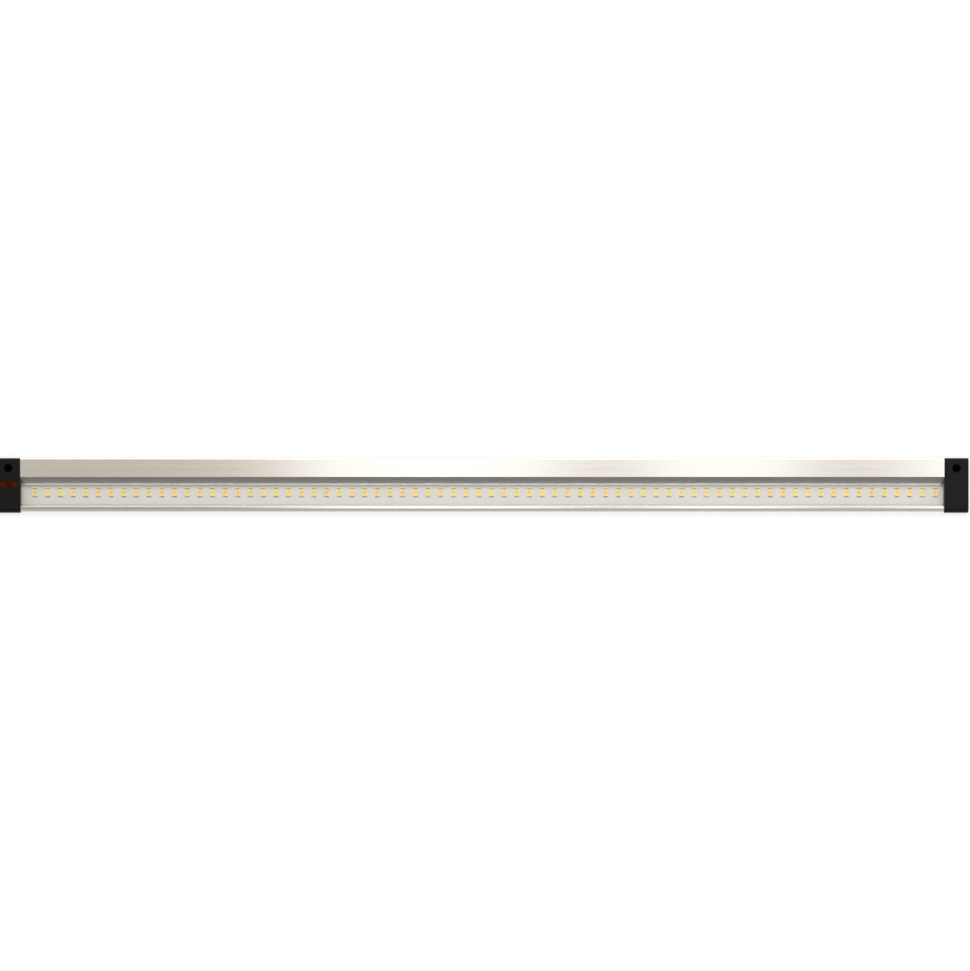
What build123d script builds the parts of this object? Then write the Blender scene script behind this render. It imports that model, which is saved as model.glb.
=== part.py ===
from build123d import *
import os

os.makedirs("parts", exist_ok=True)

# Slim 12 V LED bar with an infrared hand-wave switch in its left end cap.
# All sizes are in millimetres. X runs along the bar with the sensor cap at -X, +Y points to the
# broad flat band, and +Z is the side that the light leaves. The back lies on z = 0.

# Overall size
BAR_LENGTH = 508.0
BAR_WIDTH = 28.6
BAR_HEIGHT = 9.0
CAP_LENGTH = 12.7
BODY_END = BAR_LENGTH / 2 - CAP_LENGTH      # where the extrusion meets a cap
BAR_EDGE = BAR_WIDTH / 2

# Cross-section of the extrusion, from the flat band down to the lip
BAND_WIDTH = 9.8
SLOPE_RUN = 4.1
CHANNEL_WIDTH = 10.6
LIP_INSIDE_RUN = 0.6
LIP_HEIGHT = 7.4
LIP_ROUND = 2.8
FLOOR_THICKNESS = 1.8
BAND_EDGE = BAR_EDGE - BAND_WIDTH
CHANNEL_TOP = BAND_EDGE - SLOPE_RUN
CHANNEL_LOW = CHANNEL_TOP - CHANNEL_WIDTH
LIP_INSIDE = CHANNEL_LOW - LIP_INSIDE_RUN
CORNER_ROUND = 0.5
CRISP_ROUND = 0.15

# Clear cover, which slides into a slot along each side of the channel
COVER_THICKNESS = 1.0
COVER_BOTTOM = 4.0
COVER_TOP = COVER_BOTTOM + COVER_THICKNESS
SLOT_GAP = 0.05
SLOT_DEPTH_BAND_SIDE = 1.1
SLOT_DEPTH_LIP_SIDE = 0.9
SLOT_ROOF = 0.4
COVER_END_GAP = 0.1

# Hollow chamber under the band, and the screw ports of the extrusion
CHAMBER_WALL = 1.4
CHAMBER_INSIDE = 2.7
CHAMBER_SLOPE_TOP = 5.0
CHAMBER_SLOPE_FOOT_Z = 5.6
PORT_RADIUS = 0.85
PORT_OUTER_RADIUS = 1.9
PORT_MOUTH = 0.8
BAND_PORT = (5.0, 3.2)
LIP_PORT = (-11.9, 2.8)

# LED board: aluminium core, white face, held down by thermal tape
BOARD_WIDTH = 10.3
BOARD_THICKNESS = 1.0
BOARD_OVERHANG = 3.4                        # how far it reaches into each cap
BOARD_LOW = CHANNEL_LOW + 0.2
TAPE_THICKNESS = 0.2
BOARD_BOTTOM = FLOOR_THICKNESS + TAPE_THICKNESS
BOARD_TOP = BOARD_BOTTOM + BOARD_THICKNESS

# 3.5 x 3.1 mm LED packages, long side across the bar
LED_COUNT = 72
LED_PITCH = 6.635
FIRST_LED = -234.1
LED_ROW = -3.7
LED_LENGTH = 3.5
LED_WIDTH = 3.1
LED_HEIGHT = 0.7
LED_CORNER = 0.25
PHOSPHOR_LENGTH = 3.0
PHOSPHOR_WIDTH = 2.7
PHOSPHOR_DEPTH = 0.3
PHOSPHOR_CORNER = 0.9
SOLDER_WIDTH = 2.4
SOLDER_REACH = 0.8
SOLDER_HEIGHT = 0.45
SOLDER_TOE = 0.05

# End caps, described for the left one; the right one is its mirror image
CAP_OUTER = -BAR_LENGTH / 2
CAP_INNER = -BODY_END
CAP_CENTRE = (CAP_OUTER + CAP_INNER) / 2
CAP_WALL = 1.2
CAP_LOW_ROUND = 2.5
CAP_HIGH_ROUND = 0.8
CAP_END_ROUND = 0.6
CAVITY_OUTER = CAP_OUTER + CAP_WALL
CAVITY_INNER = CAP_INNER - CAP_WALL
CAVITY_TOP = BAR_HEIGHT - CAP_WALL
PLATE_THICKNESS = 1.0
PLATE_GAP = 0.1
SPIGOT_LENGTH = 5.0
SPIGOT_WIDTH = 4.4
SPIGOT_GAP = 0.3
SPIGOT_CHAMFER = 0.6

# Mounting hole of a cap, for a pan-head 3.5 mm wood screw, with a chamfered mouth
MOUNT_Y = 9.0
MOUNT_RADIUS = 2.0
MOUNT_MOUTH_RADIUS = 2.4
MOUNT_BOSS_RADIUS = 4.3

# Cap screws: 2 mm countersunk self-tapping screws, 20 mm long
SCREW_SHANK = 1.0
SCREW_CORE = 0.83
SCREW_HEAD = 1.7
SCREW_HEAD_HEIGHT = 1.1
SCREW_SUNK = 0.1
SCREW_TIP = CAP_INNER + 7.0
SCREW_HOLE = 1.15
SCREW_SINK = 1.75
BAND_SCREW_TUBE = 2.0
LIP_SCREW_TUBE = 1.7
DRIVE_LENGTH = 1.9
DRIVE_WIDTH = 0.45
DRIVE_DEPTH = 0.6

# Low-voltage socket for a 3.5 x 1.35 mm plug, in the end face of each cap
SOCKET_Y = -6.85
SOCKET_Z = 4.3
SOCKET_BORE = 1.8
SOCKET_PIN = 0.65
SOCKET_TAIL = 0.4
SOCKET_TAIL_HOLE = 0.42
SOCKET_WIDTH = 5.4
SOCKET_TOP = 7.6
SOCKET_REAR = CAP_INNER - 3.9
SOCKET_COLLAR = 2.6
SOCKET_COLLAR_HOLE = 2.7
SOCKET_FACE = CAP_OUTER + 0.1
BORE_END = SOCKET_REAR - 1.2
PIN_TIP = CAP_OUTER + 0.8
PIN_TAIL_END = CAP_INNER - 2.4
CONTACT_THICKNESS = 0.25
CONTACT_WIDTH = 1.4
CONTACT_Z = 6.3
CONTACT_TAIL_END = CAP_INNER - 1.6
CONTACT_FRONT = CAP_OUTER + 2.8
CONTACT_BEND = CAP_OUTER + 4.4
CONTACT_DIP = 0.4
POCKET_WIDTH = 1.8
POCKET_TOP = 6.9
POCKET_GAP = 0.04

# Hand-wave sensor in the left cap
WINDOW_LENGTH = 10.0
WINDOW_WIDTH = 4.2
WINDOW_Y = 0.6
WINDOW_CORNER = 0.5
WINDOW_GAP = 0.05
WINDOW_SUNK = 0.05
FLANGE_LENGTH = 10.2
FLANGE_WIDTH = 5.6
FLANGE_THICKNESS = 0.6
HOLDER_LENGTH = 10.2
HOLDER_WIDTH = 5.0
EYE_SPACING = 6.2
EYE_RADIUS = 1.5
EYE_HOLE = 1.6
EYE_HEIGHT = 2.7
SENSOR_BOARD_BOTTOM = 3.4
SENSOR_BOARD_TOP = 4.2
SENSOR_BOARD_Y = (-3.4, 2.8)
SENSOR_BOARD_GAP = 0.1
CHIP_SIZE = (4.0, 4.0, 0.9)
CHIP_CENTRE = (CAP_CENTRE - 2.2, -0.6)
TRANSISTOR_SIZE = (1.4, 2.9, 1.0)
TRANSISTOR_CENTRE = (CAP_CENTRE + 1.5, 0.6)
CAPACITOR_SIZE = (2.0, 1.25, 0.7)
CAPACITOR_X = (CAP_CENTRE - 3.9, CAP_CENTRE - 1.3)
CAPACITOR_Y = 2.1
RESISTOR_SIZE = (1.6, 0.8, 0.45)
RESISTOR_X = (CAP_CENTRE - 4.0, CAP_CENTRE - 1.8, CAP_CENTRE + 0.4)
RESISTOR_Y = -2.65
LINK_RADIUS = 0.5
LINK_X = CAP_INNER - 2.3
LINK_Y = (-1.7, -0.4)

# Inner wires
WIRE_RADIUS = 0.4
POSITIVE_LANE = CAP_INNER - 2.8
NEGATIVE_LANE = CAP_INNER - 1.8
JOINT_RADIUS = 0.55
JOINT_HEIGHT = 0.7
JOINT_TOP = 0.35


def block(x, y, z):
    """Box between the low and high values given for each axis."""
    size = (x[1] - x[0], y[1] - y[0], z[1] - z[0])
    return Pos((x[0] + x[1]) / 2, (y[0] + y[1]) / 2, (z[0] + z[1]) / 2) * Box(*size)


def standing_box(centre, size, z):
    """Box of the given size about a point in plan, with its underside at z."""
    return Pos(centre[0], centre[1], z + size[2] / 2) * Box(*size)


def rod(place, radius, x_start, x_end):
    """Round rod along X at the (y, z) place."""
    middle = (x_start + x_end) / 2
    return Pos(middle, *place) * Rot(0, 90, 0) * Cylinder(radius, x_end - x_start)


def cone(place, radii, x_start, x_end):
    """Cone along X at the (y, z) place, from its first radius to its second."""
    middle = (x_start + x_end) / 2
    return Pos(middle, *place) * Rot(0, 90, 0) * Cone(*radii, x_end - x_start)


def profile(section, x_start, x_end):
    """Section drawn in (y, z), carried along X."""
    return Pos(x_start, 0, 0) * extrude(Plane.YZ * section, amount=x_end - x_start)


def round_corner(section, corner, radius):
    """Section with the corner nearest to a (y, z) point rounded."""
    nearest = section.vertices().sort_by_distance((*corner, 0))[0]
    return fillet(nearest, radius)


def other_end(part):
    """Mirror image of a left-hand part, for the right-hand end."""
    return mirror(part, about=Plane.YZ)


def extrusion_section():
    """Flat band, sloping wall, cover slots, board channel and rounded lip."""
    slot_top = COVER_TOP + SLOT_GAP
    slot_bottom = COVER_BOTTOM - SLOT_GAP
    slot_band_side = CHANNEL_TOP + SLOT_DEPTH_BAND_SIDE
    slot_lip_side = CHANNEL_LOW - SLOT_DEPTH_LIP_SIDE
    section = Polygon(
        (-BAR_EDGE, 0),
        (BAR_EDGE, 0),
        (BAR_EDGE, BAR_HEIGHT),
        (BAND_EDGE, BAR_HEIGHT),
        (CHANNEL_TOP, slot_top + SLOT_ROOF),
        (CHANNEL_TOP, slot_top),
        (slot_band_side, slot_top),
        (slot_band_side, slot_bottom),
        (CHANNEL_TOP, slot_bottom),
        (CHANNEL_TOP, FLOOR_THICKNESS),
        (CHANNEL_LOW, FLOOR_THICKNESS),
        (CHANNEL_LOW, slot_bottom),
        (slot_lip_side, slot_bottom),
        (slot_lip_side, slot_top),
        (CHANNEL_LOW, slot_top),
        (CHANNEL_LOW, slot_top + SLOT_ROOF),
        (LIP_INSIDE, LIP_HEIGHT),
        (-BAR_EDGE, LIP_HEIGHT),
        align=None,
    )
    section = round_corner(section, (-BAR_EDGE, LIP_HEIGHT), LIP_ROUND)
    section = round_corner(section, (BAR_EDGE, BAR_HEIGHT), CORNER_ROUND)
    section = round_corner(section, (BAR_EDGE, 0), CORNER_ROUND)
    section = round_corner(section, (-BAR_EDGE, 0), CORNER_ROUND)
    section = round_corner(section, (BAND_EDGE, BAR_HEIGHT), CRISP_ROUND)
    section = round_corner(section, (LIP_INSIDE, LIP_HEIGHT), CRISP_ROUND)
    return section - chamber_section() - lip_port_section()


def chamber_section():
    """Hollow under the flat band, less the C-shaped screw port on its floor."""
    wall_side = BAR_EDGE - CHAMBER_WALL
    roof = BAR_HEIGHT - CHAMBER_WALL
    hollow = Polygon(
        (CHAMBER_INSIDE, CHAMBER_WALL),
        (wall_side, CHAMBER_WALL),
        (wall_side, roof),
        (CHAMBER_SLOPE_TOP, roof),
        (CHAMBER_INSIDE, CHAMBER_SLOPE_FOOT_Z),
        align=None,
    )
    hollow = fillet(hollow.vertices(), CORNER_ROUND)
    ring = Pos(*BAND_PORT) * Circle(PORT_OUTER_RADIUS)
    foot = Pos(BAND_PORT[0], CHAMBER_WALL) * Rectangle(2 * PORT_MOUTH, 2 * PORT_MOUTH)
    mouth_height = 2 * PORT_OUTER_RADIUS
    mouth = Pos(BAND_PORT[0], BAND_PORT[1] + mouth_height / 2) * Rectangle(PORT_MOUTH, mouth_height)
    port = ring + foot - Pos(*BAND_PORT) * Circle(PORT_RADIUS) - mouth
    return hollow - port


def lip_port_section():
    """Round screw port in the lip, with its mouth in the side of the board channel."""
    mouth_depth = CHANNEL_LOW - LIP_PORT[0] + CRISP_ROUND
    mouth = Pos(LIP_PORT[0] + mouth_depth / 2, LIP_PORT[1]) * Rectangle(mouth_depth, PORT_MOUTH)
    return Pos(*LIP_PORT) * Circle(PORT_RADIUS) + mouth


def make_extrusion():
    """Aluminium body of the bar."""
    return profile(extrusion_section(), -BODY_END, BODY_END)


def make_clear_cover():
    """Flat clear strip that closes the light channel."""
    reach = BODY_END - COVER_END_GAP
    low = CHANNEL_LOW - SLOT_DEPTH_LIP_SIDE + COVER_END_GAP
    high = CHANNEL_TOP + SLOT_DEPTH_BAND_SIDE - COVER_END_GAP
    return block((-reach, reach), (low, high), (COVER_BOTTOM, COVER_TOP))


def make_led_board():
    """Aluminium-core board that carries the LEDs and reaches into both caps."""
    reach = BODY_END + BOARD_OVERHANG
    return block((-reach, reach), (BOARD_LOW, BOARD_LOW + BOARD_WIDTH), (BOARD_BOTTOM, BOARD_TOP))


def make_thermal_tape():
    """Double-sided thermal tape between the board and the floor of the channel."""
    across = (BOARD_LOW, BOARD_LOW + BOARD_WIDTH)
    return block((-BODY_END, BODY_END), across, (FLOOR_THICKNESS, BOARD_BOTTOM))


def led_positions():
    """Centre of each LED on the face of the board."""
    return [Pos(FIRST_LED + i * LED_PITCH, LED_ROW, BOARD_TOP) for i in range(LED_COUNT)]


def rounded_slab(width, length, height, corner, z):
    """Flat slab with rounded upright corners, standing at z."""
    return Pos(0, 0, z) * extrude(RectangleRounded(width, length, corner), amount=height)


def make_led_packages():
    """White moulded packages with a shallow cup for the phosphor."""
    cup_floor = LED_HEIGHT - PHOSPHOR_DEPTH
    body = rounded_slab(LED_WIDTH, LED_LENGTH, LED_HEIGHT, LED_CORNER, 0)
    cup = rounded_slab(PHOSPHOR_WIDTH, PHOSPHOR_LENGTH, LED_HEIGHT, PHOSPHOR_CORNER, cup_floor)
    package = body - cup
    return Compound([place * package.solid() for place in led_positions()])


def make_led_phosphor():
    """Yellow silicone that fills the cup of each package."""
    cup_floor = LED_HEIGHT - PHOSPHOR_DEPTH
    fill = rounded_slab(PHOSPHOR_WIDTH, PHOSPHOR_LENGTH, PHOSPHOR_DEPTH, PHOSPHOR_CORNER, cup_floor)
    return Compound([place * fill.solid() for place in led_positions()])


def make_led_solder_joints():
    """Wedge of solder at both ends of each package."""
    start = LED_LENGTH / 2
    wedge = Polygon(
        (start, 0),
        (start + SOLDER_REACH, 0),
        (start + SOLDER_REACH, SOLDER_TOE),
        (start, SOLDER_HEIGHT),
        align=None,
    )
    high_side = profile(wedge, -SOLDER_WIDTH / 2, SOLDER_WIDTH / 2)
    low_side = mirror(high_side, about=Plane.XZ)
    pair = (high_side.solid(), low_side.solid())
    return Compound([place * joint for place in led_positions() for joint in pair])


def cap_outline():
    """Outline of a cap: the extrusion's, but at full height all the way across."""
    outline = Polygon(
        (-BAR_EDGE, 0),
        (BAR_EDGE, 0),
        (BAR_EDGE, BAR_HEIGHT),
        (-BAR_EDGE, BAR_HEIGHT),
        align=None,
    )
    outline = round_corner(outline, (-BAR_EDGE, BAR_HEIGHT), CAP_LOW_ROUND)
    return round_corner(outline, (BAR_EDGE, BAR_HEIGHT), CAP_HIGH_ROUND)


def cap_cavity():
    """Hollow of a cap, open to the back."""
    side = BAR_EDGE - CAP_WALL
    outline = Polygon((-side, 0), (side, 0), (side, CAVITY_TOP), (-side, CAVITY_TOP), align=None)
    outline = round_corner(outline, (-side, CAVITY_TOP), CAP_LOW_ROUND - CAP_WALL)
    return profile(outline, CAVITY_OUTER, CAVITY_INNER)


def make_plain_cap():
    """Moulded cap with its mounting boss, screw tubes, socket hole, board slot and spigot."""
    cap = profile(cap_outline(), CAP_OUTER, CAP_INNER)
    end_face = cap.faces().sort_by(Axis.X)[0]
    end_edges = end_face.edges().sort_by(Axis.Z)[1:]
    cap = fillet(end_edges, CAP_END_ROUND) - cap_cavity()

    boss_height = CAVITY_TOP - PLATE_THICKNESS
    boss = Cylinder(MOUNT_BOSS_RADIUS, boss_height)
    cap += Pos(CAP_CENTRE, MOUNT_Y, PLATE_THICKNESS + boss_height / 2) * boss
    cap += rod(BAND_PORT, BAND_SCREW_TUBE, CAVITY_OUTER, CAVITY_INNER)
    cap += rod(LIP_PORT, LIP_SCREW_TUBE, CAVITY_OUTER, CAVITY_INNER)
    cap += make_spigot()

    chamfer = MOUNT_MOUTH_RADIUS - MOUNT_RADIUS
    mouth = Cone(MOUNT_RADIUS, MOUNT_MOUTH_RADIUS, chamfer)
    cap -= Pos(CAP_CENTRE, MOUNT_Y, BAR_HEIGHT / 2) * Cylinder(MOUNT_RADIUS, BAR_HEIGHT)
    cap -= Pos(CAP_CENTRE, MOUNT_Y, BAR_HEIGHT - chamfer / 2) * mouth
    for place in (BAND_PORT, LIP_PORT):
        cap -= rod(place, SCREW_HOLE, CAP_OUTER, CAP_INNER)
        cap -= cone(place, (SCREW_SINK, SCREW_HOLE), CAP_OUTER, CAVITY_OUTER)
    cap -= rod((SOCKET_Y, SOCKET_Z), SOCKET_COLLAR_HOLE, CAP_OUTER, CAVITY_OUTER)
    slot_height = (FLOOR_THICKNESS, COVER_BOTTOM - SLOT_GAP)
    cap -= block((CAVITY_INNER, CAP_INNER), (CHANNEL_LOW, CHANNEL_TOP), slot_height)
    return cap


def make_spigot():
    """Chamfered block that enters the hollow chamber and lines the cap up."""
    side = BAR_EDGE - CHAMBER_WALL - SPIGOT_GAP
    low = CHAMBER_WALL + SPIGOT_GAP
    high = BAR_HEIGHT - CHAMBER_WALL - SPIGOT_GAP
    spigot = block((CAP_INNER, CAP_INNER + SPIGOT_LENGTH), (side - SPIGOT_WIDTH, side), (low, high))
    return chamfer(spigot.faces().sort_by(Axis.X)[-1].edges(), SPIGOT_CHAMFER)


def make_sensor_cap():
    """Left cap: the plain cap with an opening for the sensor window."""
    length = WINDOW_LENGTH + 2 * WINDOW_GAP
    width = WINDOW_WIDTH + 2 * WINDOW_GAP
    opening = rounded_slab(length, width, CAP_WALL, WINDOW_CORNER, CAVITY_TOP)
    return make_plain_cap() - Pos(CAP_CENTRE, WINDOW_Y, 0) * opening


def make_cap_back_plate():
    """Flat plate that closes the back of a cap, flush with it."""
    side = BAR_EDGE - CAP_WALL - PLATE_GAP
    along = (CAVITY_OUTER + PLATE_GAP, CAVITY_INNER - PLATE_GAP)
    plate = block(along, (-side, side), (0, PLATE_THICKNESS))
    hole = Cylinder(MOUNT_RADIUS, PLATE_THICKNESS)
    return plate - Pos(CAP_CENTRE, MOUNT_Y, PLATE_THICKNESS / 2) * hole


def make_cap_screw(place):
    """Countersunk self-tapping screw with a cross drive, at a (y, z) place."""
    head_start = CAP_OUTER + SCREW_SUNK
    head_end = head_start + SCREW_HEAD_HEIGHT
    screw = cone(place, (SCREW_HEAD, SCREW_SHANK), head_start, head_end)
    screw += rod(place, SCREW_SHANK, head_end, CAP_INNER)
    screw += rod(place, SCREW_CORE, CAP_INNER, SCREW_TIP)
    drive = Box(DRIVE_DEPTH, DRIVE_LENGTH, DRIVE_WIDTH) + Box(DRIVE_DEPTH, DRIVE_WIDTH, DRIVE_LENGTH)
    return screw - Pos(head_start + DRIVE_DEPTH / 2, *place) * drive


def make_cap_screws():
    """Both screws of the left cap."""
    return Compound([make_cap_screw(place).solid() for place in (BAND_PORT, LIP_PORT)])


def make_socket_housing():
    """Moulded body of the socket: bore, spring pocket and the ways out for both tails."""
    place = (SOCKET_Y, SOCKET_Z)
    across = (SOCKET_Y - SOCKET_WIDTH / 2, SOCKET_Y + SOCKET_WIDTH / 2)
    housing = block((CAVITY_OUTER, SOCKET_REAR), across, (PLATE_THICKNESS, SOCKET_TOP))
    housing += rod(place, SOCKET_COLLAR, SOCKET_FACE, CAVITY_OUTER)
    housing -= rod(place, SOCKET_BORE, CAP_OUTER, BORE_END)
    housing -= rod(place, SOCKET_TAIL_HOLE, BORE_END, SOCKET_REAR)
    pocket_across = (SOCKET_Y - POCKET_WIDTH / 2, SOCKET_Y + POCKET_WIDTH / 2)
    pocket_start = CONTACT_FRONT - POCKET_GAP
    housing -= block((pocket_start, BORE_END), pocket_across, (SOCKET_Z, POCKET_TOP))
    way_out = (CONTACT_Z - POCKET_GAP, CONTACT_Z + CONTACT_THICKNESS + POCKET_GAP)
    housing -= block((BORE_END, SOCKET_REAR), pocket_across, way_out)
    return housing


def make_socket_pin():
    """Centre pin of the socket, with a thinner tail for the wire."""
    place = (SOCKET_Y, SOCKET_Z)
    pin = rod(place, SOCKET_PIN, PIN_TIP, BORE_END)
    pin = fillet(pin.faces().sort_by(Axis.X)[0].edges(), SOCKET_PIN / 2)
    return pin + rod(place, SOCKET_TAIL, BORE_END, PIN_TAIL_END)


def make_socket_contact():
    """Spring leaf that dips into the bore and presses on the sleeve of the plug."""
    top = CONTACT_Z + CONTACT_THICKNESS
    leaf = Polygon(
        (CONTACT_TAIL_END, CONTACT_Z),
        (CONTACT_TAIL_END, top),
        (BORE_END, top),
        (CONTACT_BEND, top - CONTACT_DIP),
        (CONTACT_FRONT, top),
        (CONTACT_FRONT, CONTACT_Z),
        (CONTACT_BEND, CONTACT_Z - CONTACT_DIP),
        (BORE_END, CONTACT_Z),
        align=None,
    )
    strip = extrude(Plane.XZ * leaf, amount=CONTACT_WIDTH / 2, both=True)
    return Pos(0, SOCKET_Y, 0) * strip


def make_sensor_window():
    """Dark red filter, with a flange behind the face of the cap."""
    depth = CAP_WALL - WINDOW_SUNK
    window = rounded_slab(WINDOW_LENGTH, WINDOW_WIDTH, depth, WINDOW_CORNER, CAVITY_TOP)
    flange_bottom = CAVITY_TOP - FLANGE_THICKNESS
    window += Pos(0, 0, flange_bottom + FLANGE_THICKNESS / 2) * Box(
        FLANGE_LENGTH, FLANGE_WIDTH, FLANGE_THICKNESS
    )
    return Pos(CAP_CENTRE, WINDOW_Y, 0) * window


def make_sensor_holder():
    """Black block that keeps the light of the emitter away from the receiver."""
    height = CAVITY_TOP - FLANGE_THICKNESS - SENSOR_BOARD_TOP
    size = (HOLDER_LENGTH, HOLDER_WIDTH, height)
    holder = standing_box((CAP_CENTRE, WINDOW_Y), size, SENSOR_BOARD_TOP)
    for side in (-1, 1):
        x = CAP_CENTRE + side * EYE_SPACING / 2
        hole = Cylinder(EYE_HOLE, height)
        holder -= Pos(x, WINDOW_Y, SENSOR_BOARD_TOP + height / 2) * hole
    return holder


def make_eye(side):
    """Domed infrared package, the emitter at side -1 and the receiver at side 1."""
    barrel = EYE_HEIGHT - EYE_RADIUS
    x = CAP_CENTRE + side * EYE_SPACING / 2
    body = Cylinder(EYE_RADIUS, barrel, align=(Align.CENTER, Align.CENTER, Align.MIN))
    dome = Sphere(EYE_RADIUS, arc_size1=0)
    return Pos(x, WINDOW_Y, SENSOR_BOARD_TOP) * (body + Pos(0, 0, barrel) * dome)


def make_sensor_board():
    """Small circuit board of the hand-wave switch."""
    along = (CAVITY_OUTER + SENSOR_BOARD_GAP, CAVITY_INNER - SENSOR_BOARD_GAP)
    return block(along, SENSOR_BOARD_Y, (SENSOR_BOARD_BOTTOM, SENSOR_BOARD_TOP))


def under_board(centre, size):
    """Component that hangs below the sensor board."""
    return standing_box(centre, size, SENSOR_BOARD_BOTTOM - size[2])


def make_capacitors():
    """Ceramic capacitors below the sensor board."""
    parts = [under_board((x, CAPACITOR_Y), CAPACITOR_SIZE) for x in CAPACITOR_X]
    return Compound([part.solid() for part in parts])


def make_resistors():
    """Chip resistors on top of the sensor board."""
    parts = [standing_box((x, RESISTOR_Y), RESISTOR_SIZE, SENSOR_BOARD_TOP) for x in RESISTOR_X]
    return Compound([part.solid() for part in parts])


def make_board_links():
    """Solder that joins the sensor board to the LED board below it."""
    height = SENSOR_BOARD_BOTTOM - BOARD_TOP
    link = Cylinder(LINK_RADIUS, height)
    return Compound([(Pos(LINK_X, y, BOARD_TOP + height / 2) * link).solid() for y in LINK_Y])


def make_wire(lane, heights, ends):
    """Wire in an upright plane at x = lane: level, then down to its board, then level again."""
    drop = heights[0] - heights[1]
    slope_start = (ends[0] + ends[1] - drop) / 2
    route = [
        Vector(lane, ends[0], heights[0]),
        Vector(lane, slope_start, heights[0]),
        Vector(lane, slope_start + drop, heights[1]),
        Vector(lane, ends[1], heights[1]),
    ]
    turn = (route[1] - route[0]).get_angle(route[2] - route[1])
    shorter_run = min((b - a).length for a, b in zip(route, route[1:]))
    radius = 0.45 * shorter_run / tan_of_degrees(turn / 2)
    print("wire at x", round(lane, 2), "turns", round(turn, 1), "degrees, radius", round(radius, 2))
    path = FilletPolyline(*route, radius=[radius, radius])
    start = Plane(origin=path @ 0, z_dir=path % 0)
    return sweep(start * Circle(WIRE_RADIUS), path=path)


def tan_of_degrees(angle):
    """Tangent of an angle in degrees, from a unit vector turned by it."""
    turned = Vector(1, 0, 0).rotate(Axis.Z, angle)
    return turned.Y / turned.X


def make_straight_wire(lane, height, ends):
    """Straight wire along Y."""
    length = ends[1] - ends[0]
    return Pos(lane, (ends[0] + ends[1]) / 2, height) * Rot(90, 0, 0) * Cylinder(WIRE_RADIUS, length)


def board_joint(lane, y, board_top, wire):
    """Tapered mound of solder over the end of a wire on its board."""
    mound = Cone(JOINT_RADIUS, JOINT_TOP, JOINT_HEIGHT)
    return (Pos(lane, y, board_top + JOINT_HEIGHT / 2) * mound - wire).solid()


def tail_joint(lane, y, height, tail, wire):
    """Collar of solder where the end of a wire meets a tail of the socket."""
    collar = Pos(lane, y, height) * Rot(90, 0, 0) * Cylinder(JOINT_RADIUS, JOINT_HEIGHT)
    collar = collar - tail - wire
    return max(collar.solids(), key=lambda solid: solid.volume)


def write(name, part):
    """Write one node as a STEP file."""
    export_step(part, f"parts/{name}.step")


# Places of the wires: they start beside the socket's tails and end on a board.
positive_start = SOCKET_Y + SOCKET_TAIL + 0.05
negative_start = SOCKET_Y + CONTACT_WIDTH / 2 + 0.05
contact_middle = CONTACT_Z + CONTACT_THICKNESS / 2
on_sensor_board = SENSOR_BOARD_TOP + WIRE_RADIUS
on_led_board = BOARD_TOP + WIRE_RADIUS
sensor_board_end = -2.5
led_board_positive_end = -3.2
led_board_negative_end = -1.4
pin_wire_height = SOCKET_Z + 0.35

extrusion = make_extrusion()
clear_cover = make_clear_cover()
led_board = make_led_board()
thermal_tape = make_thermal_tape()
left_end_cap = make_sensor_cap()
right_end_cap = other_end(make_plain_cap())
back_plate = make_cap_back_plate()
cap_screws = make_cap_screws()
socket_housing = make_socket_housing()
socket_pin = make_socket_pin()
socket_contact = make_socket_contact()
sensor_board = make_sensor_board()

# Left end: the socket feeds the sensor board.
input_wire_positive = make_straight_wire(
    POSITIVE_LANE, on_sensor_board, (positive_start, sensor_board_end)
)
input_wire_negative = make_wire(
    NEGATIVE_LANE, (contact_middle, on_sensor_board), (negative_start, sensor_board_end)
)

# Right end: the LED board feeds the socket. Drawn at the left end, then mirrored.
output_wire_positive = make_wire(
    POSITIVE_LANE, (pin_wire_height, on_led_board), (positive_start, led_board_positive_end)
)
output_wire_negative = make_wire(
    NEGATIVE_LANE, (contact_middle, on_led_board), (negative_start, led_board_negative_end)
)

input_joints = [
    tail_joint(POSITIVE_LANE, positive_start, on_sensor_board, socket_pin, input_wire_positive),
    tail_joint(NEGATIVE_LANE, negative_start, contact_middle, socket_contact, input_wire_negative),
    board_joint(POSITIVE_LANE, sensor_board_end, SENSOR_BOARD_TOP, input_wire_positive),
    board_joint(NEGATIVE_LANE, sensor_board_end, SENSOR_BOARD_TOP, input_wire_negative),
]
output_joints = [
    tail_joint(POSITIVE_LANE, positive_start, pin_wire_height, socket_pin, output_wire_positive),
    tail_joint(NEGATIVE_LANE, negative_start, contact_middle, socket_contact, output_wire_negative),
    board_joint(POSITIVE_LANE, led_board_positive_end, BOARD_TOP, output_wire_positive),
    board_joint(NEGATIVE_LANE, led_board_negative_end, BOARD_TOP, output_wire_negative),
]

write("aluminium_extrusion", extrusion)
write("clear_cover", clear_cover)
write("led_board", led_board)
write("thermal_tape", thermal_tape)
write("led_packages", make_led_packages())
write("led_phosphor", make_led_phosphor())
write("led_solder_joints", make_led_solder_joints())
write("left_end_cap", left_end_cap)
write("right_end_cap", right_end_cap)
write("left_cap_back_plate", back_plate)
write("right_cap_back_plate", other_end(back_plate))
write("left_cap_screws", cap_screws)
write("right_cap_screws", other_end(cap_screws))
write("input_socket_housing", socket_housing)
write("input_socket_pin", socket_pin)
write("input_socket_contact", socket_contact)
write("output_socket_housing", other_end(socket_housing))
write("output_socket_pin", other_end(socket_pin))
write("output_socket_contact", other_end(socket_contact))
write("sensor_window", make_sensor_window())
write("sensor_holder", make_sensor_holder())
write("infrared_emitter", make_eye(-1))
write("infrared_receiver", make_eye(1))
write("sensor_board", sensor_board)
write("controller_chip", under_board(CHIP_CENTRE, CHIP_SIZE))
write("dimming_transistor", under_board(TRANSISTOR_CENTRE, TRANSISTOR_SIZE))
write("sensor_board_capacitors", make_capacitors())
write("sensor_board_resistors", make_resistors())
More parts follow.
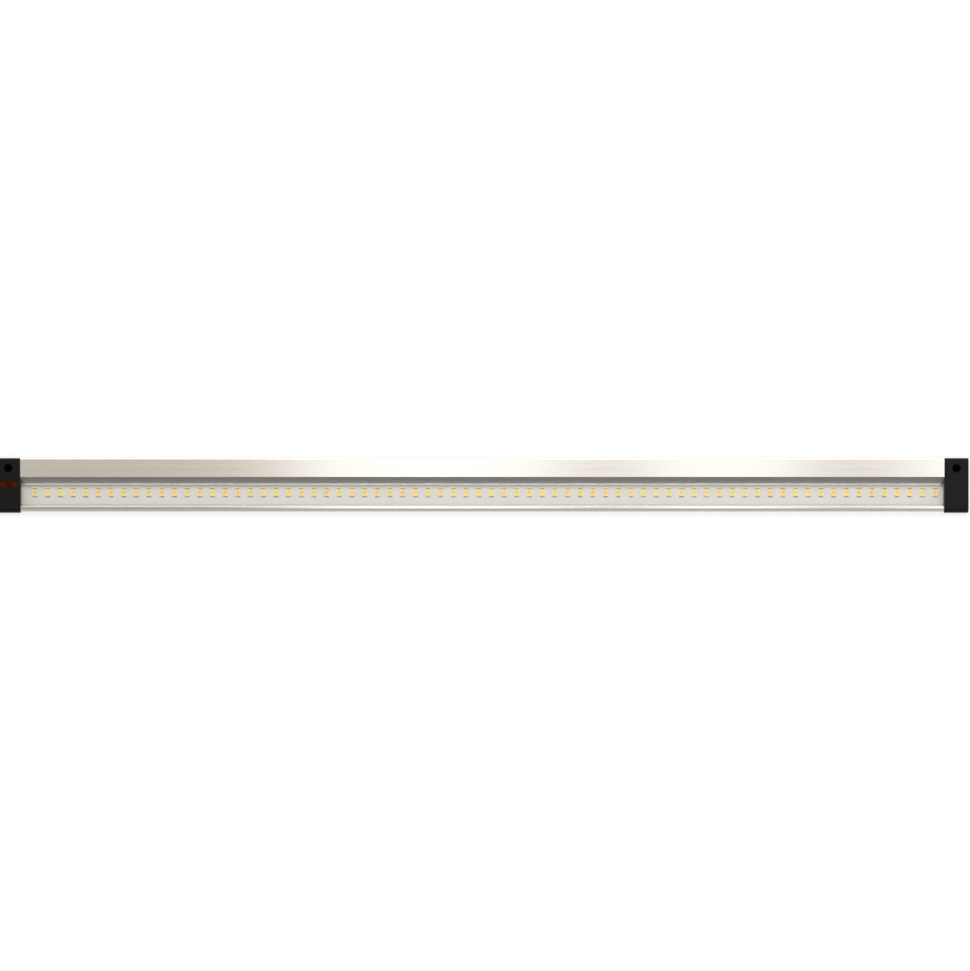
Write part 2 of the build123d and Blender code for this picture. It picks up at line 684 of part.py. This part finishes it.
write("board_link_joints", make_board_links())
write("input_wire_positive", input_wire_positive)
write("input_wire_negative", input_wire_negative)
write("output_wire_positive", other_end(output_wire_positive))
write("output_wire_negative", other_end(output_wire_negative))
write("input_wire_joints", Compound(input_joints))
write("output_wire_joints", other_end(Compound(output_joints)))
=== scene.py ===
import math

import bpy
import numpy as np
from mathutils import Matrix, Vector


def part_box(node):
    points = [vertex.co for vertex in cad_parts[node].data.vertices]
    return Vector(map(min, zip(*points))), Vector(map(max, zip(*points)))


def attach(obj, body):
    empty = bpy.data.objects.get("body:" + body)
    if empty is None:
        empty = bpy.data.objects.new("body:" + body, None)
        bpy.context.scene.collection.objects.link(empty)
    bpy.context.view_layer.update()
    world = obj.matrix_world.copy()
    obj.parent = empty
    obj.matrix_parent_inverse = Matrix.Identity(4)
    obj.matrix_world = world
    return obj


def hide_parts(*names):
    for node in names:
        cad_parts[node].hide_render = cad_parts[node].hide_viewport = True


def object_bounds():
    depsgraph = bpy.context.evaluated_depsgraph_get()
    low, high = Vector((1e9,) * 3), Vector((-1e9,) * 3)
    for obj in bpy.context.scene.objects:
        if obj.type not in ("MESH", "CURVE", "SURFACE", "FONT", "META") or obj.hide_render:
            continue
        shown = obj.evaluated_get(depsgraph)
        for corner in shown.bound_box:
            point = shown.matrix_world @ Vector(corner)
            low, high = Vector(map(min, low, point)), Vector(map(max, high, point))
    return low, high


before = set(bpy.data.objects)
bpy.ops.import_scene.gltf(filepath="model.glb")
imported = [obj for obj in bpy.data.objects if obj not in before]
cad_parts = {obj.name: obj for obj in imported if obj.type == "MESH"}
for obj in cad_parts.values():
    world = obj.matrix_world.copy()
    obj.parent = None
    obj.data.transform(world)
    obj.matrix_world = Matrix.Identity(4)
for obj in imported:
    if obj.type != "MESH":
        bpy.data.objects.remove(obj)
cad_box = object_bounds()
bar_low, bar_high = cad_box


# ---- Extruded body --------------------------------------------------------------------------
# One length of extruded 6063 aluminium, saw-cut at both ends and clear anodised to a satin
# finish. The die leaves fine lines that run the whole length of the bar.

def start_material(name, texture_scale=(1.0, 1.0, 1.0)):
    """New material with its shader, and Object coordinates scaled along each axis."""
    material = bpy.data.materials.new(name)
    material.use_nodes = True
    nodes, links = material.node_tree.nodes, material.node_tree.links
    shader = nodes["Principled BSDF"]
    coordinates = nodes.new("ShaderNodeTexCoord")
    mapping = nodes.new("ShaderNodeMapping")
    mapping.inputs["Scale"].default_value = texture_scale
    links.new(coordinates.outputs["Object"], mapping.inputs["Vector"])
    return material, nodes, links, shader, mapping.outputs["Vector"]


def noise(nodes, links, place, scale, detail=2.0, roughness=0.5):
    """Noise texture read at the given coordinates; returns its value."""
    texture = nodes.new("ShaderNodeTexNoise")
    texture.inputs["Scale"].default_value = scale
    texture.inputs["Detail"].default_value = detail
    texture.inputs["Roughness"].default_value = roughness
    links.new(place, texture.inputs["Vector"])
    return texture.outputs["Fac"]


def spread(nodes, links, value, low, high, from_low=0.3, from_high=0.7):
    """Value stretched from one range to another."""
    node = nodes.new("ShaderNodeMapRange")
    node.inputs["From Min"].default_value = from_low
    node.inputs["From Max"].default_value = from_high
    node.inputs["To Min"].default_value = low
    node.inputs["To Max"].default_value = high
    links.new(value, node.inputs["Value"])
    return node.outputs["Result"]


def blend_colours(nodes, links, value, *colours):
    """Colour that runs evenly through the given colours as the value goes from 0 to 1."""
    ramp = nodes.new("ShaderNodeValToRGB")
    stops = ramp.color_ramp.elements
    while len(stops) < len(colours):
        stops.new(0.5)
    for i, colour in enumerate(colours):
        stops[i].position = i / (len(colours) - 1)
        stops[i].color = (*colour, 1.0)
    links.new(value, ramp.inputs["Fac"])
    return ramp.outputs["Color"]


def add_bump(nodes, links, shader, height, strength, distance):
    """Bump of the given height field on the shader."""
    bump = nodes.new("ShaderNodeBump")
    bump.inputs["Strength"].default_value = strength
    bump.inputs["Distance"].default_value = distance
    links.new(height, bump.inputs["Height"])
    links.new(bump.outputs["Normal"], shader.inputs["Normal"])


def finish_node(node, material):
    """Gives a CAD node its material."""
    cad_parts[node].material_slots[0].material = material


aluminium, nodes, links, shader, place = start_material("satin_aluminium", (0.15, 900.0, 900.0))
die_lines = noise(nodes, links, place, 1.0, 3.0, 0.6)
clouds = noise(nodes, links, place, 0.05, 2.0)
links.new(
    blend_colours(nodes, links, clouds, (0.83, 0.82, 0.80), (0.88, 0.875, 0.86)),
    shader.inputs["Base Color"],
)
links.new(spread(nodes, links, die_lines, 0.19, 0.27), shader.inputs["Roughness"])
add_bump(nodes, links, shader, die_lines, 0.04, 0.00002)
shader.inputs["Metallic"].default_value = 1.0
finish_node("aluminium_extrusion", aluminium)


# ---- LED board and its tape -----------------------------------------------------------------
# Aluminium-core board with a white solder mask, slightly uneven as printed masks are, bedded
# in the channel on grey double-sided thermal tape.

white_mask, nodes, links, shader, place = start_material("white_solder_mask")
mottle = noise(nodes, links, place, 260.0, 3.0)
links.new(
    blend_colours(nodes, links, mottle, (0.775, 0.755, 0.74), (0.83, 0.815, 0.80)),
    shader.inputs["Base Color"],
)
add_bump(nodes, links, shader, noise(nodes, links, place, 2500.0, 2.0), 0.1, 0.00002)
links.new(spread(nodes, links, mottle, 0.34, 0.44), shader.inputs["Roughness"])
finish_node("led_board", white_mask)

tape, nodes, links, shader, place = start_material("thermal_tape")
links.new(
    blend_colours(nodes, links, noise(nodes, links, place, 900.0), (0.45, 0.46, 0.46), (0.6, 0.6, 0.6)),
    shader.inputs["Base Color"],
)
shader.inputs["Roughness"].default_value = 0.8
finish_node("thermal_tape", tape)


# ---- LED packages ---------------------------------------------------------------------------
# Surface-mount packages of moulded white polymer, a shallow cup on a lead frame. A row of them
# is reflow-soldered along the board, each by a pad at either end.

def rounded_outline(half_x, half_y, corner, arc_points=3):
    """Rounded rectangle: each corner is a quarter circle about a point one radius inside it."""
    quarter = np.linspace(0.0, math.pi / 2, arc_points)
    turns = np.concatenate([quarter + i * math.pi / 2 for i in range(4)])
    side_x = np.repeat([1, -1, -1, 1], arc_points) * (half_x - corner)
    side_y = np.repeat([1, 1, -1, -1], arc_points) * (half_y - corner)
    return np.stack([side_x + corner * np.cos(turns), side_y + corner * np.sin(turns)], axis=1)


def stacked_rings(outlines, heights):
    """Closed surface through outlines at given heights: rows of quads, and a fan at each end."""
    rings, count = len(outlines), len(outlines[0])
    points = [np.column_stack([ring, np.full(count, z)]) for ring, z in zip(outlines, heights)]
    points += [[[0, 0, heights[0]]], [[0, 0, heights[-1]]]]
    faces = []
    for i in range(count):
        j = (i + 1) % count
        for ring in range(rings - 1):
            low, high = ring * count, (ring + 1) * count
            faces.append((low + i, low + j, high + j, high + i))
        faces.append((rings * count, j, i))
        faces.append((rings * count + 1, (rings - 1) * count + i, (rings - 1) * count + j))
    return np.concatenate(points), faces


def repeated(points, faces, places):
    """The same shape once at each of the places."""
    everywhere = (points[None, :, :] + np.asarray(places)[:, None, :]).reshape(-1, 3)
    copies = [
        tuple(corner + i * len(points) for corner in face) for i in range(len(places)) for face in faces
    ]
    return everywhere, copies


def add_piece(name, points, faces, material, node):
    """Mesh object that stands for one CAD node on the only body."""
    mesh = bpy.data.meshes.new(name)
    mesh.from_pydata(points.tolist(), [], faces)
    mesh.materials.append(material)
    piece = bpy.data.objects.new(name, mesh)
    bpy.context.scene.collection.objects.link(piece)
    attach(piece, "root")
    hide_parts(node)
    return piece


led_count = 72
package_x = 0.0031
package_y = 0.0035
package_height = 0.0007
package_corner = 0.00025
cup_x = 0.0027
cup_y = 0.0030
cup_corner = 0.0009
cup_depth = 0.0003
row_low, row_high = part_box("led_packages")
led_pitch = (row_high.x - row_low.x - package_x) / (led_count - 1)
led_places = [
    (row_low.x + package_x / 2 + i * led_pitch, (row_low.y + row_high.y) / 2, row_low.z)
    for i in range(led_count)
]

shoulder = 0.00005
package_rings = [
    rounded_outline(package_x / 2, package_y / 2, package_corner),
    rounded_outline(package_x / 2, package_y / 2, package_corner),
    rounded_outline(package_x / 2 - shoulder, package_y / 2 - shoulder, package_corner - shoulder),
    rounded_outline(cup_x / 2, cup_y / 2, cup_corner),
    rounded_outline(cup_x / 2 - shoulder, cup_y / 2 - shoulder, cup_corner),
]
package_heights = [
    0.0,
    package_height - shoulder,
    package_height,
    package_height,
    package_height - cup_depth,
]

white_package, nodes, links, shader, place = start_material("white_package")
links.new(
    blend_colours(nodes, links, noise(nodes, links, place, 1500.0), (0.80, 0.77, 0.66), (0.88, 0.86, 0.78)),
    shader.inputs["Base Color"],
)
add_bump(nodes, links, shader, noise(nodes, links, place, 6000.0), 0.15, 0.00001)
shader.inputs["Roughness"].default_value = 0.5
package_points, package_faces = repeated(*stacked_rings(package_rings, package_heights), led_places)
add_piece("led_package_row", package_points, package_faces, white_package, "led_packages")


# ---- Phosphor -------------------------------------------------------------------------------
# Yellow silicone dispensed into each cup. It climbs the rim of the cup in a thin pale edge and
# lies deeper over the chip in the middle; the mix differs a little from package to package.

fill_scales = [1.0, 1.0, 0.78, 0.42]
fill_dips = [0.0, 0.00004, 0.00007]
fill_rings = [
    rounded_outline(scale * cup_x / 2, scale * cup_y / 2, scale * cup_corner) for scale in fill_scales
]
below_rim = 0.00001
above_cup_floor = 0.00002
fill_top = package_height - below_rim
fill_bottom = package_height - cup_depth + above_cup_floor
fill_heights = [fill_bottom] + [fill_top - dip for dip in fill_dips]

phosphor, nodes, links, shader, place = start_material("yellow_phosphor")
depth_value = nodes.new("ShaderNodeAttribute")
depth_value.attribute_name = "fill_depth"
mix_value = nodes.new("ShaderNodeAttribute")
mix_value.attribute_name = "phosphor_mix"
over_chip = blend_colours(
    nodes, links, mix_value.outputs["Fac"], (0.88, 0.44, 0.05), (0.92, 0.56, 0.06), (0.88, 0.70, 0.08)
)
at_rim = blend_colours(
    nodes, links, mix_value.outputs["Fac"], (0.97, 0.80, 0.40), (0.96, 0.85, 0.42), (0.94, 0.90, 0.40)
)
through_depth = nodes.new("ShaderNodeMix")
through_depth.data_type = "RGBA"
links.new(depth_value.outputs["Fac"], through_depth.inputs["Factor"])
links.new(at_rim, through_depth.inputs["A"])
links.new(over_chip, through_depth.inputs["B"])
links.new(through_depth.outputs["Result"], shader.inputs["Base Color"])
add_bump(nodes, links, shader, noise(nodes, links, place, 3000.0), 0.2, 0.00002)
shader.inputs["Roughness"].default_value = 0.3
# Faint painted glow: the unlit phosphor is given a little yellow emission.
shader.inputs["Emission Color"].default_value = (1.0, 0.70, 0.14, 1.0)
shader.inputs["Emission Strength"].default_value = 0.08

fill_points, fill_faces = stacked_rings(fill_rings, fill_heights)
depth_of_rings = np.repeat([0.0, 0.0, 0.45, 0.9], len(fill_rings[0]))
depth_of_points = np.concatenate([depth_of_rings, [0.0, 1.0]])
all_fill_points, all_fill_faces = repeated(fill_points, fill_faces, led_places)
phosphor_row = add_piece(
    "phosphor_row", all_fill_points, all_fill_faces, phosphor, "led_phosphor"
)
mix_of_packages = np.random.default_rng(5).beta(2.5, 2.5, led_count)
depth_attribute = phosphor_row.data.attributes.new("fill_depth", "FLOAT", "POINT")
depth_attribute.data.foreach_set("value", np.tile(depth_of_points, led_count).astype(np.float32))
mix_attribute = phosphor_row.data.attributes.new("phosphor_mix", "FLOAT", "POINT")
mix_attribute.data.foreach_set(
    "value", np.repeat(mix_of_packages, len(fill_points)).astype(np.float32)
)


# ---- LED solder joints ----------------------------------------------------------------------
# Reflowed fillets at both ends of each package: high where the solder wets the package, then
# falling in a hollow curve to a thin toe on the pad.

joint_reach = 0.0008
joint_height = 0.00045
joint_toe = 0.00005
joint_half_width = 0.0012


def solder_fillet(side):
    """Closed fillet: height falls as the square of the way left to the toe, less at its ends."""
    way = np.linspace(0.0, 1.0, 5)
    stations = np.array([-1.0, -0.8, 0.8, 1.0])
    fullness = np.array([0.55, 1.0, 1.0, 0.55])
    outline = len(way) + 2
    points = []
    for across, full in zip(stations, fullness):
        reach = way * joint_reach * (0.7 + 0.3 * full)
        height = joint_toe + (joint_height * full - joint_toe) * (1 - way) ** 2
        line_y = np.concatenate([reach, [reach[-1], 0.0]])
        line_z = np.concatenate([height, [0.0, 0.0]])
        line_x = np.full(outline, across * joint_half_width)
        points.append(np.column_stack([line_x, side * line_y, line_z]))
    faces = []
    for start in range(0, outline * (len(stations) - 1), outline):
        for j in range(outline):
            k = (j + 1) % outline
            faces.append((start + j, start + k, start + outline + k, start + outline + j))
    last = outline * (len(stations) - 1)
    faces += [tuple(range(outline - 1, -1, -1)), tuple(range(last, last + outline))]
    if side > 0:
        faces = [face[::-1] for face in faces]
    return np.concatenate(points), faces


bright_solder, nodes, links, shader, place = start_material("bright_solder")
links.new(
    blend_colours(nodes, links, noise(nodes, links, place, 1800.0), (0.42, 0.41, 0.40), (0.54, 0.53, 0.52)),
    shader.inputs["Base Color"],
)
links.new(spread(nodes, links, noise(nodes, links, place, 2500.0), 0.2, 0.4), shader.inputs["Roughness"])
add_bump(nodes, links, shader, noise(nodes, links, place, 3500.0), 0.2, 0.00002)
shader.inputs["Metallic"].default_value = 1.0

fillet_points = []
fillet_faces = []
for side in (-1, 1):
    ends = [(x, y + side * package_y / 2, z) for x, y, z in led_places]
    side_points, side_faces = repeated(*solder_fillet(side), ends)
    start = sum(len(points) for points in fillet_points)
    fillet_points.append(side_points)
    fillet_faces += [tuple(corner + start for corner in face) for face in side_faces]
add_piece(
    "led_solder_fillets",
    np.concatenate(fillet_points),
    fillet_faces,
    bright_solder,
    "led_solder_joints",
)
for node in ("board_link_joints", "input_wire_joints", "output_wire_joints"):
    finish_node(node, bright_solder)


# ---- Clear cover ----------------------------------------------------------------------------
# Flat strip of clear polycarbonate that slides into the slots at both sides of the channel.
# A faint pale sheen lies on it head-on and grows at a slant, alike on both of its faces.

cover_clear, nodes, links, shader, place = start_material("clear_polycarbonate", (8.0, 500.0, 500.0))
shader.inputs["Base Color"].default_value = (0.9, 0.92, 0.9, 1.0)
rubbed = noise(nodes, links, place, 1.0, 3.0)
links.new(spread(nodes, links, rubbed, 0.08, 0.16), shader.inputs["Roughness"])
clear = nodes.new("ShaderNodeBsdfTransparent")
clear.inputs["Color"].default_value = (0.985, 0.985, 0.98, 1.0)
slant = nodes.new("ShaderNodeLayerWeight")
slant.inputs["Blend"].default_value = 0.5
steep = nodes.new("ShaderNodeMath")
steep.operation = "POWER"
links.new(slant.outputs["Facing"], steep.inputs[0])
steep.inputs[1].default_value = 5.0
sheen = spread(nodes, links, steep.outputs["Value"], 0.043, 1.0, 0.0, 1.0)
mix = nodes.new("ShaderNodeMixShader")
links.new(sheen, mix.inputs["Fac"])
links.new(clear.outputs["BSDF"], mix.inputs[1])
links.new(shader.outputs["BSDF"], mix.inputs[2])
links.new(mix.outputs["Shader"], nodes["Material Output"].inputs["Surface"])
finish_node("clear_cover", cover_clear)


# ---- End caps, back plates and sensor holder ------------------------------------------------
# Injection-moulded black polymer with a fine spark-eroded grain. Each cap plugs onto the end of
# the extrusion, and a plate closes its back once the wiring is in.

black_moulding, nodes, links, shader, place = start_material("black_moulding")
grain = noise(nodes, links, place, 2600.0, 2.0)
links.new(
    blend_colours(
        nodes, links, noise(nodes, links, place, 90.0), (0.0035, 0.0035, 0.0038), (0.006, 0.0055, 0.006)
    ),
    shader.inputs["Base Color"],
)
links.new(spread(nodes, links, grain, 0.34, 0.48), shader.inputs["Roughness"])
add_bump(nodes, links, shader, grain, 0.25, 0.00004)
shader.inputs["Specular IOR Level"].default_value = 0.14
for end in ("left", "right"):
    finish_node(f"{end}_end_cap", black_moulding)
    finish_node(f"{end}_cap_back_plate", black_moulding)
finish_node("sensor_holder", black_moulding)


# ---- Cap screws -----------------------------------------------------------------------------
# Small self-tapping screws of blackened steel, driven through each cap into the screw ports.

black_steel, nodes, links, shader, place = start_material("black_oxide_steel")
wear = noise(nodes, links, place, 1400.0, 3.0)
links.new(
    blend_colours(nodes, links, wear, (0.05, 0.05, 0.055), (0.14, 0.135, 0.13)),
    shader.inputs["Base Color"],
)
links.new(spread(nodes, links, wear, 0.3, 0.5), shader.inputs["Roughness"])
add_bump(nodes, links, shader, wear, 0.15, 0.00002)
shader.inputs["Metallic"].default_value = 1.0
for node in ("left_cap_screws", "right_cap_screws"):
    finish_node(node, black_steel)


# ---- Sockets --------------------------------------------------------------------------------
# Low-voltage barrel sockets: a black housing, a turned centre pin and a sprung leaf, both of
# nickel-plated brass.

socket_black, nodes, links, shader, place = start_material("socket_black")
flow = noise(nodes, links, place, 300.0)
links.new(
    blend_colours(nodes, links, flow, (0.010, 0.010, 0.011), (0.018, 0.018, 0.019)),
    shader.inputs["Base Color"],
)
links.new(spread(nodes, links, noise(nodes, links, place, 1800.0), 0.22, 0.34), shader.inputs["Roughness"])
add_bump(nodes, links, shader, noise(nodes, links, place, 3000.0), 0.1, 0.00002)
for node in ("input_socket_housing", "output_socket_housing"):
    finish_node(node, socket_black)

plated_brass, nodes, links, shader, place = start_material("plated_brass", (1.0, 40.0, 40.0))
turning = noise(nodes, links, place, 60.0, 3.0)
links.new(
    blend_colours(nodes, links, turning, (0.66, 0.60, 0.46), (0.76, 0.71, 0.58)),
    shader.inputs["Base Color"],
)
links.new(spread(nodes, links, turning, 0.16, 0.3), shader.inputs["Roughness"])
add_bump(nodes, links, shader, turning, 0.1, 0.00001)
shader.inputs["Metallic"].default_value = 1.0
for node in ("input_socket_pin", "input_socket_contact", "output_socket_pin", "output_socket_contact"):
    finish_node(node, plated_brass)


# ---- Sensor window and eyes -----------------------------------------------------------------
# Flush window of dark red acrylic that passes infrared, held by its flange under the cap's face.
# Behind it stand the two domed eyes of amber-tinted epoxy, one that sends and one that receives.

red_acrylic, nodes, links, shader, place = start_material("dark_red_acrylic")
smear = noise(nodes, links, place, 350.0, 3.0)
links.new(
    blend_colours(nodes, links, smear, (0.09, 0.018, 0.005), (0.13, 0.027, 0.008)),
    shader.inputs["Base Color"],
)
links.new(spread(nodes, links, smear, 0.08, 0.2), shader.inputs["Roughness"])
shader.inputs["Specular IOR Level"].default_value = 0.3
red_clear = nodes.new("ShaderNodeBsdfTransparent")
red_clear.inputs["Color"].default_value = (0.82, 0.42, 0.15, 1.0)
fresnel = nodes.new("ShaderNodeFresnel")
fresnel.inputs["IOR"].default_value = 1.45
body_share = spread(nodes, links, fresnel.outputs["Fac"], 0.25, 1.0, 0.0, 1.0)
mix = nodes.new("ShaderNodeMixShader")
links.new(body_share, mix.inputs["Fac"])
links.new(red_clear.outputs["BSDF"], mix.inputs[1])
links.new(shader.outputs["BSDF"], mix.inputs[2])
links.new(mix.outputs["Shader"], nodes["Material Output"].inputs["Surface"])
finish_node("sensor_window", red_acrylic)

amber_epoxy, nodes, links, shader, place = start_material("amber_epoxy")
links.new(
    blend_colours(nodes, links, noise(nodes, links, place, 700.0), (0.90, 0.55, 0.24), (0.97, 0.68, 0.32)),
    shader.inputs["Base Color"],
)
add_bump(nodes, links, shader, noise(nodes, links, place, 900.0), 0.05, 0.00002)
shader.inputs["Roughness"].default_value = 0.12
for node in ("infrared_emitter", "infrared_receiver"):
    finish_node(node, amber_epoxy)


# ---- Sensor board and its components --------------------------------------------------------
# Small fibreglass board under the eyes, with a controller, a transistor that dims the LEDs, and
# a few chip capacitors and resistors. It hangs from the LED board by two solder links.

green_mask, nodes, links, shader, place = start_material("green_solder_mask")
weave = noise(nodes, links, place, 2200.0, 2.0)
links.new(
    blend_colours(nodes, links, weave, (0.012, 0.10, 0.035), (0.02, 0.15, 0.055)),
    shader.inputs["Base Color"],
)
add_bump(nodes, links, shader, weave, 0.2, 0.00002)
shader.inputs["Roughness"].default_value = 0.35
finish_node("sensor_board", green_mask)

chip_epoxy, nodes, links, shader, place = start_material("chip_epoxy")
filler = noise(nodes, links, place, 2500.0)
links.new(
    blend_colours(nodes, links, filler, (0.012, 0.012, 0.013), (0.03, 0.03, 0.031)),
    shader.inputs["Base Color"],
)
add_bump(nodes, links, shader, noise(nodes, links, place, 5000.0), 0.3, 0.00002)
shader.inputs["Roughness"].default_value = 0.6
for node in ("controller_chip", "dimming_transistor", "sensor_board_resistors"):
    finish_node(node, chip_epoxy)

ceramic, nodes, links, shader, place = start_material("capacitor_ceramic")
links.new(
    blend_colours(nodes, links, noise(nodes, links, place, 2500.0), (0.36, 0.24, 0.14), (0.46, 0.32, 0.20)),
    shader.inputs["Base Color"],
)
add_bump(nodes, links, shader, noise(nodes, links, place, 5000.0), 0.2, 0.00002)
shader.inputs["Roughness"].default_value = 0.55
finish_node("sensor_board_capacitors", ceramic)


# ---- Inner wires ----------------------------------------------------------------------------
# Short leads in red and black vinyl from the tails of each socket to a board.

def vinyl(name, dark, light):
    """Soft vinyl of wire insulation, faintly drawn along its length."""
    material, nodes, links, shader, place = start_material(name)
    drawn = noise(nodes, links, place, 1200.0, 2.0)
    links.new(blend_colours(nodes, links, drawn, dark, light), shader.inputs["Base Color"])
    add_bump(nodes, links, shader, drawn, 0.1, 0.00002)
    shader.inputs["Roughness"].default_value = 0.42
    return material


red_vinyl = vinyl("red_vinyl", (0.42, 0.02, 0.015), (0.55, 0.03, 0.02))
black_vinyl = vinyl("black_vinyl", (0.012, 0.012, 0.012), (0.025, 0.025, 0.025))
for socket in ("input", "output"):
    finish_node(f"{socket}_wire_positive", red_vinyl)
    finish_node(f"{socket}_wire_negative", black_vinyl)


# ---- Floor, light and camera ----------------------------------------------------------------
# White seamless floor that glows softly, with painted shade under the bar and a painted
# contact shadow fading out just beside it, and a studio that is darkest along the horizon. A
# large key softbox lights the bar from behind, and three small ones close above it brighten its
# middle and its right half.

floor_size = 20.0
floor_gap = 0.0005
painted_shade_fade_starts = 0.003
painted_shadow_fade_ends = 0.006
half = floor_size / 2
floor_mesh = bpy.data.meshes.new("floor")
floor_mesh.from_pydata(
    [(-half, -half, 0), (half, -half, 0), (half, half, 0), (-half, half, 0)], [], [(0, 1, 2, 3)]
)
floor = bpy.data.objects.new("floor", floor_mesh)
bpy.context.scene.collection.objects.link(floor)
floor.location.z = bar_low.z - floor_gap
floor_white_painted_shade, nodes, links, shader, place = start_material("floor_white_painted_shade")
axes = nodes.new("ShaderNodeSeparateXYZ")
links.new(place, axes.inputs["Vector"])


def outside(axis, edge):
    """Share of the floor clear of painted shade: nothing under the bar, a third at its edge and one a
    little way out from it.
    """
    away = nodes.new("ShaderNodeMath")
    away.operation = "ABSOLUTE"
    links.new(axes.outputs[axis], away.inputs[0])
    starts, full = edge - painted_shade_fade_starts, edge + painted_shadow_fade_ends
    return spread(nodes, links, away.outputs["Value"], 0.0, 1.0, starts, full)


painted_shade_clearance = nodes.new("ShaderNodeMath")
painted_shade_clearance.operation = "MAXIMUM"
links.new(outside("X", bar_high.x), painted_shade_clearance.inputs[0])
links.new(outside("Y", bar_high.y), painted_shade_clearance.inputs[1])
clear_of_painted_shade = painted_shade_clearance.outputs["Value"]
# Glow is nothing under the bar and dips beside it: painted shade under the bar and a painted contact shadow
# along its edges.
links.new(
    blend_colours(nodes, links, clear_of_painted_shade, (0.0,) * 3, (0.80,) * 3, (0.92,) * 3, (0.95,) * 3),
    shader.inputs["Emission Strength"],
)
open_floor = (0.16, 0.16, 0.158)
# The floor's colour darkens the same way under and beside the bar, as more painted shade and painted
# shadow.
links.new(
    blend_colours(nodes, links, clear_of_painted_shade, (0.02,) * 3, (0.15,) * 3, open_floor, open_floor),
    shader.inputs["Base Color"],
)
shader.inputs["Roughness"].default_value = 0.9
shader.inputs["Specular IOR Level"].default_value = 0.0
shader.inputs["Emission Color"].default_value = (1.0, 1.0, 0.99, 1.0)
floor_mesh.materials.append(floor_white_painted_shade)

world = bpy.data.worlds.new("studio")
bpy.context.scene.world = world
world.use_nodes = True
nodes, links = world.node_tree.nodes, world.node_tree.links
direction = nodes.new("ShaderNodeTexCoord")
axes = nodes.new("ShaderNodeSeparateXYZ")
links.new(direction.outputs["Generated"], axes.inputs["Vector"])
sky = nodes.new("ShaderNodeValToRGB")
sky_stops = (
    (0.00, (0.030, 0.030, 0.029)),
    (0.18, (0.060, 0.059, 0.057)),
    (0.33, (0.72, 0.71, 0.69)),
    (0.52, (0.74, 0.72, 0.68)),
    (0.74, (0.34, 0.325, 0.30)),
    (0.88, (0.36, 0.335, 0.29)),
    (1.00, (0.46, 0.415, 0.35)),
)
while len(sky.color_ramp.elements) < len(sky_stops):
    sky.color_ramp.elements.new(0.5)
for stop, (position, colour) in zip(sky.color_ramp.elements, sky_stops):
    stop.position = position
    stop.color = (*colour, 1.0)
links.new(axes.outputs["Z"], sky.inputs["Fac"])
links.new(sky.outputs["Color"], nodes["Background"].inputs["Color"])
nodes["Background"].inputs["Strength"].default_value = 1.0


def add_softbox(name, place, aim, size, glow, colour):
    """Rectangular soft light of the given brightness that faces a point of the bar."""
    light = bpy.data.lights.new(name, "AREA")
    light.shape = "RECTANGLE"
    light.size, light.size_y = size
    light.energy = glow * math.pi * light.size * light.size_y
    light.color = colour
    lamp = bpy.data.objects.new(name, light)
    lamp.location = place
    towards = Vector(aim) - Vector(place)
    lamp.rotation_euler = towards.to_track_quat("-Z", "Y").to_euler()
    bpy.context.scene.collection.objects.link(lamp)


key_white = (1.0, 0.995, 0.985)
add_softbox("key_softbox", (-0.2, 1.56, 2.7), (0.0, 0.0, 0.0), (2.4, 2.0), 2.95, key_white)
lamp_height = 0.5
lamp_depth = 0.5
warm_white = (1.0, 0.985, 0.96)
for name, along, width, glow in (
    ("middle_softbox", -0.035, 0.17, 0.85),
    ("right_softbox", 0.155, 0.1, 0.9),
    ("far_right_softbox", 0.37, 0.2, 0.9),
):
    above, below = (along, 0.0, lamp_height), (along, 0.0, 0.0)
    add_softbox(name, above, below, (width, lamp_depth), glow, warm_white)

camera_data = bpy.data.cameras.new("camera")
camera = bpy.data.objects.new("camera", camera_data)
bpy.context.scene.collection.objects.link(camera)
bpy.context.scene.camera = camera
camera_height = 2.2
framed_length = 0.507
camera_shift = 0.0014
camera_data.sensor_width = 36.0
camera_data.lens = camera_data.sensor_width * (camera_height - bar_high.z) / framed_length
camera.location = (camera_shift, 0.0, camera_height)
camera_data.clip_end = 50.0

bpy.context.scene.view_settings.view_transform = "Standard"
